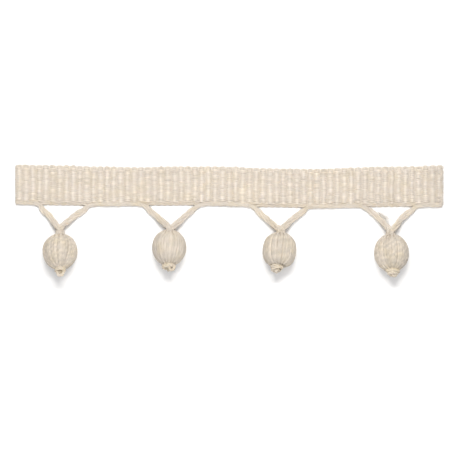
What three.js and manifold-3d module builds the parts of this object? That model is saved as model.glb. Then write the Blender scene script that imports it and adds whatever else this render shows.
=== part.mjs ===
// Bobble fringe trim: a cut length of ribbed cotton heading that lies face up on a flat surface,
// one hanger cord along its foot that dips into four V shapes, and four thread-covered bobbles,
// each threaded on the doubled cord and held by the knot below it.
//
// Millimetres, +Z up. The origin is the middle of the heading's flat back, +X runs along the
// heading, +Y points to its top edge, and the bobbles hang towards -Y.

import * as THREE from "three";
import { mergeVertices } from "three/addons/utils/BufferGeometryUtils.js";
import Module from "manifold-3d";

const wasm = await Module();
wasm.setup();

const pieceGap = 0.3;

// The woven heading: thick weft ribs across it, and a thin lip along the foot that carries the cord.
const heading = {
  ribs: 63,
  ribPitch: 3.133,
  facetsPerRib: 4,
  valleyHeight: 1.25,
  ribHeight: 1.9,
  topEdgeHeight: 1.0,
  topEdgeRound: 0.7,
  lipHeight: 1.0,
  lipWidth: 2.3,
  lipSlope: 0.3,
};
const headingLength = heading.ribs * heading.ribPitch;

// The heading lies a little wavy. At each station along it: where its top edge and its foot lie.
const outline = [
  { x: -98.7, top: 10.2, foot: -7.9 },
  { x: -78.7, top: 10.0, foot: -8.5 },
  { x: -60.3, top: 9.4, foot: -8.8 },
  { x: -41.9, top: 9.1, foot: -8.6 },
  { x: -23.5, top: 9.5, foot: -8.6 },
  { x: -1.4, top: 9.4, foot: -8.7 },
  { x: 17.0, top: 8.6, foot: -9.4 },
  { x: 39.1, top: 8.3, foot: -9.8 },
  { x: 53.8, top: 8.8, foot: -9.4 },
  { x: 68.5, top: 9.4, foot: -9.3 },
  { x: 83.3, top: 9.5, foot: -9.2 },
  { x: 98.7, top: 10.0, foot: -9.2 },
];

// The hanger cord has an oval section. It rests on the lip between the bobbles.
const cord = {
  width: 2.3,
  height: 1.5,
  sides: 8,
  step: 1.9,
  runInset: 1.05,
  runPointPitch: 7,
  bendReach: 3.2,
  bendRise: 0.15,
  stemRadius: 1.5,
  stemSides: 12,
};
const runCentreHeight = heading.lipHeight + pieceGap + cord.height / 2;

// A bobble is egg-shaped: half an ellipsoid above its widest place and a fuller one below it, both
// cut off before the pole. The shares say where, of each half's reach.
const bobble = {
  flatDepth: 0.15,
  crownCut: 0.94,
  footCut: 0.93,
  neckRadius: 2.1,
  facets: 24,
  arcSteps: 6,
};

const knotFacets = 12;

// Where the cord leaves the heading's foot for each bobble.
const armTops = [
  { left: -87.4, right: -64.8 },
  { left: -38.2, right: -14.6 },
  { left: 11.4, right: 36.2 },
  { left: 61.2, right: 86.4 },
];

// The widest place of each bobble, and reaches along its axis from there: crown and foot to the
// poles of its halves, and neck to where the arms meet. fullness is 2 for an ellipsoid below the
// widest place, more for a squarer one and less for a more pointed one. lean turns the knot to the
// right, and tilt lifts the knot off the surface, both in degrees.
const bobbles = [
  { x: -77.6, y: -29.6, radius: 8.0, crown: 8.1, foot: 8.6, fullness: 1.95, neck: 11.1, lean: 0.5, tilt: 22 },
  { x: -27.6, y: -27.6, radius: 7.75, crown: 7.9, foot: 8.7, fullness: 2.0, neck: 8.9, lean: -1.5, tilt: 14 },
  { x: 23.0, y: -28.4, radius: 7.65, crown: 7.6, foot: 8.2, fullness: 2.9, neck: 9.6, lean: -4.5, tilt: 18 },
  { x: 74.3, y: -30.4, radius: 7.95, crown: 8.8, foot: 8.4, fullness: 2.05, neck: 10.8, lean: 3.0, tilt: 16 },
];

// Each bobble's knot: its end's reach along the axis, from the bobble's widest place.
const knots = [
  { tip: 13.0, radius: 3.2 },
  { tip: 11.4, radius: 3.3 },
  { tip: 12.0, radius: 2.8 },
  { tip: 11.8, radius: 3.1 },
];

const cottonHeading = new THREE.MeshStandardMaterial({ color: 0xe8dccb, roughness: 0.92, metalness: 0 });
const cottonCord = new THREE.MeshStandardMaterial({ color: 0xeaddc8, roughness: 0.9, metalness: 0 });
const cottonThread = new THREE.MeshStandardMaterial({ color: 0xddd0be, roughness: 0.9, metalness: 0 });

// A value of the outline at x, eased between the stations on either side.
function outlineAt(x, column) {
  const last = outline.length - 1;
  const next = outline.findIndex((station) => station.x > x);
  if (next === 0) return outline[0][column];
  if (next < 0) return outline[last][column];
  const [a, b] = [outline[next - 1], outline[next]];
  const share = THREE.MathUtils.smoothstep(x, a.x, b.x);
  return THREE.MathUtils.lerp(a[column], b[column], share);
}

// A closed body through rings of points, each ring with the same count and seen counter-clockwise
// from the body's far end. Both ends are closed by a fan from each ring's first point.
function loft(rings) {
  const count = rings[0].length;
  const positions = rings.flat().flatMap((p) => [p.x, p.y, p.z]);
  const index = [];
  for (let r = 0; r + 1 < rings.length; r++) {
    for (let k = 0; k < count; k++) {
      const a = r * count + k;
      const b = r * count + ((k + 1) % count);
      index.push(a, b, b + count, a, b + count, a + count);
    }
  }
  const far = (rings.length - 1) * count;
  for (let k = 1; k + 1 < count; k++) {
    index.push(0, k + 1, k);
    index.push(far, far + k, far + k + 1);
  }
  const geometry = new THREE.BufferGeometry();
  geometry.setAttribute("position", new THREE.Float32BufferAttribute(positions, 3));
  geometry.setIndex(index);
  return geometry;
}

// A three.js geometry as a solid that can be joined and cut.
function toSolid(geometry) {
  const bare = geometry.clone();
  bare.deleteAttribute("normal");
  bare.deleteAttribute("uv");
  const merged = mergeVertices(bare, 1e-4);
  return new wasm.Manifold(
    new wasm.Mesh({
      numProp: 3,
      vertProperties: new Float32Array(merged.attributes.position.array),
      triVerts: new Uint32Array(merged.index.array),
    }),
  );
}

function toGeometry(solid) {
  const { vertProperties, triVerts } = solid.getMesh();
  const geometry = new THREE.BufferGeometry();
  geometry.setAttribute("position", new THREE.BufferAttribute(vertProperties, 3));
  geometry.setIndex(new THREE.BufferAttribute(triVerts, 1));
  return geometry;
}

function namedMesh(name, geometry, material) {
  const flat = geometry.index ? geometry.toNonIndexed() : geometry;
  flat.computeVertexNormals();
  const mesh = new THREE.Mesh(flat, material);
  mesh.name = name;
  return mesh;
}

// The heading's section across it at x: the back is flat, and share is the place within a rib.
function headingSection(x, share) {
  const top = outlineAt(x, "top");
  const foot = outlineAt(x, "foot");
  const arch = Math.sin(Math.PI * share);
  const crest = THREE.MathUtils.lerp(heading.valleyHeight, heading.ribHeight, arch);
  const lipEnd = foot + heading.lipWidth;
  return [
    new THREE.Vector3(x, top, 0),
    new THREE.Vector3(x, top, heading.topEdgeHeight),
    new THREE.Vector3(x, top - heading.topEdgeRound, crest),
    new THREE.Vector3(x, lipEnd + heading.lipSlope, crest),
    new THREE.Vector3(x, lipEnd, heading.lipHeight),
    new THREE.Vector3(x, foot, heading.lipHeight),
    new THREE.Vector3(x, foot, 0),
  ];
}

function makeHeading() {
  const columns = heading.ribs * heading.facetsPerRib;
  const sections = [];
  for (let c = 0; c <= columns; c++) {
    const x = -headingLength / 2 + (headingLength * c) / columns;
    sections.push(headingSection(x, (c % heading.facetsPerRib) / heading.facetsPerRib));
  }
  return namedMesh("heading", loft(sections), cottonHeading);
}

// Where a bobble is: its widest place, the direction from its neck to its knot, and its turn. It
// rests on the surface on its crown half, with a small flat there.
function placeOf(row) {
  const lean = THREE.MathUtils.degToRad(row.lean);
  const tilt = THREE.MathUtils.degToRad(row.tilt);
  const axis = new THREE.Vector3(
    Math.sin(lean) * Math.cos(tilt),
    -Math.cos(lean) * Math.cos(tilt),
    Math.sin(tilt),
  );
  const restHeight = Math.hypot(row.crown * Math.sin(tilt), row.radius * Math.cos(tilt));
  const middle = new THREE.Vector3(row.x, row.y, restHeight - bobble.flatDepth);
  const turn = new THREE.Quaternion().setFromUnitVectors(new THREE.Vector3(0, -1, 0), axis);
  return { axis, middle, turn };
}

// A lathed body on a bobble's axis. Each profile point is a reach along the axis, which grows from
// the neck's side to the knot's side, and a radius.
function latheOnAxis(place, profile, facets) {
  const points = profile.map(([reach, radius]) => new THREE.Vector2(radius, -reach)).reverse();
  const geometry = new THREE.LatheGeometry(points, facets);
  const matrix = new THREE.Matrix4().compose(place.middle, place.turn, new THREE.Vector3(1, 1, 1));
  return toSolid(geometry.applyMatrix4(matrix));
}

// Profile points along a bobble's outside, from the cut crown to the cut foot.
function eggProfile(row) {
  const crownAngle = Math.asin(bobble.crownCut);
  const footAngle = Math.asin(bobble.footCut);
  const points = [];
  for (let k = -bobble.arcSteps; k <= bobble.arcSteps; k++) {
    const above = k < 0;
    const share = Math.sin(((above ? crownAngle : footAngle) * k) / bobble.arcSteps);
    const fullness = above ? 2 : row.fullness;
    const wide = (1 - Math.abs(share) ** fullness) ** (1 / fullness);
    points.push([(above ? row.crown : row.foot) * share, row.radius * wide]);
  }
  return points;
}

function makeBobble(row, number) {
  const place = placeOf(row);
  const bore = cord.stemRadius + pieceGap;
  const neckEnd = -row.neck + cord.height / 2 + pieceGap;
  const footEnd = bobble.footCut * row.foot;
  const profile = [
    [neckEnd, bore],
    [neckEnd, bobble.neckRadius],
    ...eggProfile(row),
    [footEnd, bore],
    [neckEnd, bore],
  ];
  const body = latheOnAxis(place, profile, bobble.facets);
  const slabSize = 4 * row.radius;
  const slab = new THREE.BoxGeometry(slabSize, slabSize, slabSize);
  slab.translate(row.x, row.y, -slabSize / 2);
  return namedMesh("bobble_" + number, toGeometry(body.subtract(toSolid(slab))), cottonThread);
}

// The doubled cord through a bobble, with the knot that holds the bobble on it. The knot's outline
// is a share of its length and a share of its radius for each ring.
function makeStemAndKnot(row, knot) {
  const place = placeOf(row);
  const knotStart = bobble.footCut * row.foot + pieceGap;
  const knotLength = knot.tip - knotStart;
  const stemEnd = knotStart + knotLength / 2;
  const stem = latheOnAxis(
    place,
    [
      [-row.neck, 0],
      [-row.neck, cord.stemRadius],
      [stemEnd, cord.stemRadius],
      [stemEnd, 0],
    ],
    cord.stemSides,
  );
  const outlineRings = [
    { along: 0, wide: 0.8 },
    { along: 0.18, wide: 1 },
    { along: 0.4, wide: 0.93 },
    { along: 0.7, wide: 0.6 },
    { along: 1, wide: 0.2 },
  ];
  const rings = outlineRings.map((ring) => [
    knotStart + ring.along * knotLength,
    ring.wide * knot.radius,
  ]);
  const lump = latheOnAxis(place, [[knotStart, 0], ...rings, [knot.tip, 0]], knotFacets);
  return stem.add(lump);
}

// A tube of the cord's oval section along points. The section's width stays level.
function cordAlong(points) {
  const curve = new THREE.CatmullRomCurve3(points, false, "centripetal");
  const steps = Math.ceil(curve.getLength() / cord.step);
  const up = new THREE.Vector3(0, 0, 1);
  const rings = [];
  for (let s = 0; s <= steps; s++) {
    const centre = curve.getPointAt(s / steps);
    const ahead = curve.getTangentAt(s / steps);
    const side = new THREE.Vector3().crossVectors(up, ahead).normalize();
    const rise = new THREE.Vector3().crossVectors(ahead, side);
    const ring = [];
    for (let k = 0; k < cord.sides; k++) {
      const angle = (2 * Math.PI * (k + 0.5)) / cord.sides;
      const across = side.clone().multiplyScalar((Math.cos(angle) * cord.width) / 2);
      const raised = rise.clone().multiplyScalar((Math.sin(angle) * cord.height) / 2);
      ring.push(centre.clone().add(across).add(raised));
    }
    rings.push(ring);
  }
  return toSolid(loft(rings));
}

// A point of the cord where it lies on the heading's lip.
function runPoint(x) {
  return new THREE.Vector3(x, outlineAt(x, "foot") + cord.runInset, runCentreHeight);
}

// The cord's points up one arm: from the neck to the heading's foot, then a bend onto the lip.
// outwards is -1 on the left arm and 1 on the right arm.
function armPoints(row, armTop, outwards) {
  const place = placeOf(row);
  const neck = place.middle.clone().addScaledVector(place.axis, -row.neck);
  const top = new THREE.Vector3(armTop, outlineAt(armTop, "foot"), runCentreHeight + cord.bendRise);
  return [
    neck,
    neck.clone().lerp(top, 1 / 3),
    neck.clone().lerp(top, 2 / 3),
    top,
    runPoint(armTop + outwards * cord.bendReach),
  ];
}

// The whole cord is one body: a run from each bobble's right arm to the next one's left arm, a run
// to each cut end, and the doubled stems with their knots.
function makeHangerCord() {
  const end = headingLength / 2;
  const pieces = bobbles.map((row, k) => makeStemAndKnot(row, knots[k]));
  for (let k = 0; k <= bobbles.length; k++) {
    const first = k === 0;
    const last = k === bobbles.length;
    const start = first ? [runPoint(-end)] : armPoints(bobbles[k - 1], armTops[k - 1].right, 1);
    const finish = last ? [runPoint(end)] : armPoints(bobbles[k], armTops[k].left, -1).reverse();
    const from = start[start.length - 1].x;
    const to = finish[0].x;
    const spans = Math.max(2, Math.round((to - from) / cord.runPointPitch));
    const between = [];
    for (let p = 1; p < spans; p++) {
      between.push(runPoint(THREE.MathUtils.lerp(from, to, p / spans)));
    }
    pieces.push(cordAlong([...start, ...between, ...finish]));
  }
  const whole = pieces.reduce((joined, piece) => joined.add(piece));
  return namedMesh("hanger_cord", toGeometry(whole), cottonCord);
}

const trim = new THREE.Group();
trim.add(makeHeading());
trim.add(makeHangerCord());
bobbles.forEach((row, k) => trim.add(makeBobble(row, k + 1)));

export default trim;
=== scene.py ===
# Bobble fringe trim: a cut length of ribbed cotton heading, a hanger cord sewn along its foot and
# four thread-covered bobbles knotted on the cord, laid face up on a pale surface.
#
# Metres, +Z up. +X runs along the heading, +Y points to its top edge, and the bobbles lie at -Y.

import math

import bpy
import numpy as np
from bpy.props import FloatProperty, FloatVectorProperty, IntProperty, PointerProperty
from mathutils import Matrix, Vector


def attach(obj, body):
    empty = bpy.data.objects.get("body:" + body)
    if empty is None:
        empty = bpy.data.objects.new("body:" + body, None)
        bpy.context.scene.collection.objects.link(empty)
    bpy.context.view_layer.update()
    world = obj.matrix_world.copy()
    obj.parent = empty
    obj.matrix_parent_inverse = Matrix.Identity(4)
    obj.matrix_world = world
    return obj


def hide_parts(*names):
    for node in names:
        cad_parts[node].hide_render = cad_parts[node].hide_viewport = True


bl_info = {
    "name": "Bobble Fringe Trim",
    "version": (1, 0, 0),
    "blender": (4, 5, 0),
    "location": "3D View > Sidebar > Trim",
    "description": "Weaves a ribbed heading, lays its hanger cord and winds its bobbles",
    "category": "Object",
}

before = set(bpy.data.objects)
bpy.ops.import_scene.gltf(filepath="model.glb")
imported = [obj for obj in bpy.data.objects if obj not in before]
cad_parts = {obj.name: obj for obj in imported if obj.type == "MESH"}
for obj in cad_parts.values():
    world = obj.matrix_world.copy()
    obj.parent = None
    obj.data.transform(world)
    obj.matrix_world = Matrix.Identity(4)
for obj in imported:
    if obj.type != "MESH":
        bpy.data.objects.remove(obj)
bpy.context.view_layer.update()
MM = 0.001
BODY = "root"
UP = np.array([0.0, 0.0, 1.0])
TURN = 2 * math.pi
# The distance between the rings of a yarn's mesh, and of a knot's.
YARN_STEP = 0.36 * MM
KNOT_STEP = 0.3 * MM

# Each bobble as it lies: x and y are its widest place, crown and foot the reach of its two halves
# along its axis, neck the reach to where the cord's arms meet. fullness is 2 for an ellipsoid below
# the widest place, more for a squarer one and less for a more pointed one. lean turns the knot to
# the right and tilt lifts it. twist is the length in which a thread's plies turn once and relief the
# way from its middle to a ply's. Millimetres and degrees.
BOBBLES = [
    {"x": -77.6, "y": -29.6, "radius": 8.0, "crown": 8.1, "foot": 8.6, "fullness": 1.95, "neck": 11.1,
     "lean": 0.5, "tilt": 22, "twist": 2.8, "relief": 0.11},
    {"x": -27.6, "y": -27.6, "radius": 7.75, "crown": 7.9, "foot": 8.7, "fullness": 2.0, "neck": 8.9,
     "lean": -1.5, "tilt": 14, "twist": 7.0, "relief": 0.05},
    {"x": 23.0, "y": -28.4, "radius": 7.65, "crown": 7.6, "foot": 8.2, "fullness": 2.9, "neck": 9.6,
     "lean": -4.5, "tilt": 18, "twist": 4.4, "relief": 0.08},
    {"x": 74.3, "y": -30.4, "radius": 7.95, "crown": 8.8, "foot": 8.4, "fullness": 2.05, "neck": 10.8,
     "lean": 3.0, "tilt": 16, "twist": 3.2, "relief": 0.11},
]
# How deep the small flat is that a bobble rests on. Millimetres.
FLAT_DEPTH = 0.15
# The share of its crown and of its foot that a bobble's threads run along before they turn in.
CROWN_CUT = 0.94
FOOT_CUT = 0.93

# Each arm of the cord, from the heading's foot down to the neck, seen from above. Millimetres.
LEFT_ARMS = [
    [(-87.3, -8.3), (-85.8, -10.6), (-83.0, -13.1), (-80.9, -15.7), (-79.2, -18.1)],
    [(-38.4, -9.2), (-35.9, -11.5), (-32.4, -14.4), (-29.4, -16.9), (-28.0, -18.4)],
    [(11.2, -9.4), (13.3, -11.3), (15.8, -13.7), (18.8, -16.1), (21.7, -18.7)],
    [(60.9, -9.0), (63.9, -10.5), (66.9, -12.8), (69.5, -15.2), (71.9, -17.8)],
]
RIGHT_ARMS = [
    [(-64.8, -9.0), (-66.7, -10.6), (-69.3, -12.2), (-71.9, -14.0), (-74.3, -16.0), (-76.6, -17.9)],
    [(-14.5, -8.9), (-17.0, -10.7), (-19.9, -13.2), (-22.9, -15.8), (-25.9, -18.4)],
    [(36.3, -9.2), (34.4, -10.9), (31.9, -12.7), (29.3, -14.7), (26.9, -16.7), (24.9, -18.6)],
    [(86.4, -8.9), (84.0, -10.7), (81.5, -12.5), (79.1, -14.7), (76.8, -17.6), (75.3, -19.4)],
]

# Each knot: how far to the right of the axis it lies, how far past the bobble's foot it starts, the
# reach of its tip, how thick its yarn is, how many turns of it wrap the knot, their first and last
# radius, how far along the knot they go and how far they tip over. Then the half width of its eye, or
# 0 for a knot with a loose end, and the thickness of the eye's or the end's yarn. end_x and end_up are
# the eye's or the end's way to the right and towards the viewer.
KNOTS = [
    {"x": 0.1, "start": 0.5, "tip": 13.0, "yarn": 1.4, "turns": 1.8, "wide": 2.1, "narrow": 2.0,
     "span": 1.2, "tip_over": 3, "eye": 1.35, "loop": 1.45, "end_x": 0.1, "end_up": 0.0},
    {"x": 0.0, "start": 0.6, "tip": 12.3, "yarn": 1.6, "turns": 2.1, "wide": 2.5, "narrow": 2.5,
     "span": 1.2, "tip_over": 2, "eye": 1.15, "loop": 1.3, "end_x": 1.5, "end_up": 2.3},
    {"x": -0.5, "start": 0.2, "tip": 12.6, "yarn": 1.8, "turns": 2.1, "wide": 2.5, "narrow": 2.0,
     "span": 2.5, "tip_over": -8, "eye": 0.0, "loop": 3.0, "end_x": -0.6, "end_up": 0.9},
    {"x": -0.1, "start": 0.3, "tip": 12.0, "yarn": 1.8, "turns": 2.3, "wide": 2.8, "narrow": 1.1,
     "span": 2.5, "tip_over": 12, "eye": 0.0, "loop": 1.7, "end_x": 0.9, "end_up": 0.5},
]
# The length of a knot's eye beside its width, and the share of a turn left open at each of its ends.
EYE_LENGTH = 1.3
EYE_OPEN = 0.1

# A rib's section is a half sine wave to this power.
RIB_FORM = 1.5
# The ribs fade between these two distances from the heading's top edge.
RIB_FADE = (0.3 * MM, 2.4 * MM)
# The wefts that turn round the top edge in each rib's loop.
LOOP_WEFTS = 4
# How uneven the weave is. The first four are shares of the measure itself.
UNEVEN = {
    "rib_pitch": 0.045,
    "rib_rise": 0.05,
    "float_rise": 0.07,
    "float_width": 0.09,
    "float_shade": 0.48,
    "float_place": 0.035 * MM,
    "yarn_place": 0.05 * MM,
}

# The yarns of the heading's foot selvedge: how far each lies from the edge, how high, and the width
# of the yarn or of its plies. Millimetres.
FOOT_YARNS = [
    {"inset": 0.62, "height": 0.55, "width": 0.66, "plies": 2},
    {"inset": 1.25, "height": 0.8, "width": 0.6, "plies": 1},
    {"inset": 1.7, "height": 1.1, "width": 0.7, "plies": 1},
]

# How many loose fibres stand on the long edges, on each arm and on each bobble, and the long wisps.
FIBRES = {"edges": 420, "arm": 34, "bobble": 90, "wisps": 34}
# The middle of the long wisps beside the last bobble's left arm and how far they scatter about it.
# Millimetres.
WISPS = (68.6, -12.0, 2.2)
WISP_SCATTER = (0.6, 0.4, 0.3)

# Each cotton: whose colour it takes, how far its yarns' shades and its patches spread, how much
# yellower its patches run, the length of its twist, the ridges round a yarn and their depth.
# Millimetres.
COTTONS = [
    {"name": "heading cotton", "colour": "heading", "spread": 0.1, "patch": 0.1, "warmth": 0.2,
     "pitch": 1.6, "ridges": 2, "depth": 0.035},
    {"name": "ground cotton", "colour": "heading", "spread": 0.0, "patch": 0.1, "warmth": 0.2,
     "pitch": 2.0, "ridges": 2, "depth": 0.03},
    {"name": "cord cotton", "colour": "cord", "spread": 0.12, "patch": 0.16, "warmth": 0.35,
     "pitch": 2.4, "ridges": 3, "depth": 0.04},
    {"name": "knot cotton", "colour": "knot", "spread": 0.12, "patch": 0.2, "warmth": 0.45,
     "pitch": 2.4, "ridges": 3, "depth": 0.04},
    {"name": "bobble cotton", "colour": "thread", "spread": 0.25, "patch": 0.16, "warmth": 0.3,
     "pitch": 2.0, "ridges": 3, "depth": 0.05},
]
# What all cottons share.
COTTON_SURFACE = {
    "Specular IOR Level": 0.25,
    "Sheen Weight": 0.03,
    "Sheen Roughness": 0.6,
    "Subsurface Weight": 0.15,
    "Subsurface Radius": (1.0, 0.8, 0.6),
    "Subsurface Scale": 0.6 * MM,
}

SOFT = (1.0, 0.99, 0.97)
WARM = (1.0, 0.985, 0.955)
# Each lamp: its angle above the surface and how far it is turned to the right of the heading's side,
# in degrees, its distance and side in metres, its power in watts and its colour.
LAMPS = [
    {"name": "overhead", "elevation": 88, "turn": 0, "distance": 1.2, "side": 0.5, "power": 2.6,
     "colour": SOFT},
    {"name": "low", "elevation": 40, "turn": 180, "distance": 1.0, "side": 0.5, "power": 2.1,
     "colour": SOFT},
    {"name": "left key", "elevation": 65, "turn": -16, "distance": 0.8, "side": 0.14, "power": 2.3,
     "colour": WARM},
    {"name": "right key", "elevation": 65, "turn": 16, "distance": 0.8, "side": 0.14, "power": 2.3,
     "colour": WARM},
]
SKY_COLOUR = (0.945, 0.96, 1.0, 1)
SKY_STRENGTH = 1.2


def length_property(name, description, default):
    """A length, in metres."""
    return FloatProperty(name=name, description=description, default=default, unit="LENGTH")


def colour_property(name, description, default):
    """A colour, in linear red, green and blue."""
    return FloatVectorProperty(
        name=name, description=description, default=default, subtype="COLOR", size=3, min=0, max=1
    )


class HeadingSizes(bpy.types.PropertyGroup):
    """Sizes of the woven heading."""

    ribs: IntProperty(name="Ribs", description="Weft cords that cross the heading", default=63, min=2)
    warp_pitch: length_property("Warp pitch", "From one warp yarn to the next", 0.42 * MM)
    rib_rise: length_property("Rib rise", "How far a warp yarn rises over a rib", 0.7 * MM)
    float_width: length_property("Float width", "Width of a warp yarn on a rib", 1.02 * MM)
    yarn_height: length_property("Yarn height", "Thickness of a warp yarn", 0.42 * MM)
    lip_width: length_property("Lip width", "Depth of the thin selvedge at the foot", 1.8 * MM)
    loop_reach: length_property("Loop reach", "How far a weft loop stands past the top yarn", 0.5 * MM)


class CordSizes(bpy.types.PropertyGroup):
    """Sizes of the hanger cord."""

    strands: IntProperty(name="Strands", description="Yarns in the flat bundle", default=5, min=2)
    width: length_property("Width", "Width of the bundle", 3.1 * MM)
    height: length_property("Height", "Height of the bundle", 1.5 * MM)
    ply: length_property("Ply", "Diameter of one ply", 0.84 * MM)
    run_share: FloatProperty(
        name="Run share", description="Width along the foot beside that of an arm", default=0.55,
        subtype="FACTOR", min=0, max=1
    )
    lay: length_property("Lay", "Length in which the bundle turns once", 34 * MM)
    run_height: length_property("Run height", "Height of the cord's middle on the lip", 1.4 * MM)


class BobbleSizes(bpy.types.PropertyGroup):
    """Sizes of the thread that covers a bobble."""

    threads: IntProperty(name="Threads", description="Threads laid round a bobble", default=34, min=6)
    thread: length_property("Thread", "Width of a thread", 1.9 * MM)


class TrimColours(bpy.types.PropertyGroup):
    """Colours of the cotton and the surface."""

    heading: colour_property("Heading", "Cotton of the heading", (0.68, 0.609, 0.531))
    cord: colour_property("Cord", "Cotton of the hanger cord", (0.655, 0.583, 0.503))
    thread: colour_property("Thread", "Cotton of the bobbles", (0.602, 0.528, 0.444))
    knot: colour_property("Knot", "Cotton of the knots", (0.625, 0.553, 0.462))
    surface: colour_property("Surface", "Surface under the trim", (0.94, 0.94, 0.94))


class StageSizes(bpy.types.PropertyGroup):
    """Camera and surface."""

    camera_x: length_property("Camera X", "Camera's place along the trim", 0.3 * MM)
    camera_y: length_property("Camera Y", "Camera's place across the trim", -19.8 * MM)
    view_width: length_property("View width", "Width of the surface in view", 211.6 * MM)
    lens: FloatProperty(name="Lens", description="Focal length", unit="CAMERA", default=400)
    floor: length_property("Floor", "Side of the surface", 3.0)


class TrimSettings(bpy.types.PropertyGroup):
    """All settings of the trim."""

    heading: PointerProperty(type=HeadingSizes)
    cord: PointerProperty(type=CordSizes)
    bobble: PointerProperty(type=BobbleSizes)
    colours: PointerProperty(type=TrimColours)
    stage: PointerProperty(type=StageSizes)


def smoothstep(low, high, value):
    share = np.clip((value - low) / (high - low), 0, 1)
    return share * share * (3 - 2 * share)


def unit(vectors):
    return vectors / np.maximum(np.linalg.norm(vectors, axis=-1, keepdims=True), 1e-12)


def lengths_along(path):
    steps = np.linalg.norm(np.diff(path, axis=0), axis=1)
    return np.concatenate([[0], np.cumsum(steps)])


def even_steps(path, step):
    """The same line with points step apart."""
    along = lengths_along(path)
    count = max(2, int(round(along[-1] / step)) + 1)
    wanted = np.linspace(0, along[-1], count)
    return np.stack([np.interp(wanted, along, path[:, k]) for k in range(path.shape[1])], axis=1)


def smooth_path(points, step):
    """A smooth curve through the points, with points step apart."""
    p = np.asarray(points, float)
    p = np.vstack([2 * p[0] - p[1], p, 2 * p[-1] - p[-2]])
    t = np.linspace(0, 1, 16, endpoint=False)[:, None]
    spans = []
    for a, b, c, d in zip(p[:-3], p[1:-2], p[2:-1], p[3:]):
        bend = (2 * a - 5 * b + 4 * c - d) * t**2 + (3 * b - a - 3 * c + d) * t**3
        spans.append(0.5 * (2 * b + (c - a) * t + bend))
    return even_steps(np.vstack([*spans, p[-2:-1]]), step)


def wander(rng, along, wave, amount):
    """A smooth random offset along a line, of about the given wave length."""
    first, second, third = rng.uniform(0, TURN, 3)
    long_wave = 0.55 * np.sin(TURN * along / wave + first)
    middle_wave = 0.3 * np.sin(TURN * 1.7 * along / wave + second)
    short_wave = 0.15 * np.sin(TURN * 3.1 * along / wave + third)
    return amount * (long_wave + middle_wave + short_wave)


def sides_of(path, up):
    """Unit vectors to the side of a line and away from it towards up, at each of its points."""
    ahead = unit(np.gradient(path, axis=0))
    side = unit(np.cross(np.broadcast_to(up, path.shape), ahead))
    return side, np.cross(ahead, side)


def carried_sides(path, up):
    """As sides_of, but carried along the line without turning round it."""
    ahead = unit(np.gradient(path, axis=0))
    side = np.empty_like(path)
    side[0] = unit(np.cross(up, ahead[0]))
    for k in range(1, len(path)):
        side[k] = unit(side[k - 1] - ahead[k] * np.dot(side[k - 1], ahead[k]))
    return side, np.cross(ahead, side)


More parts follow.
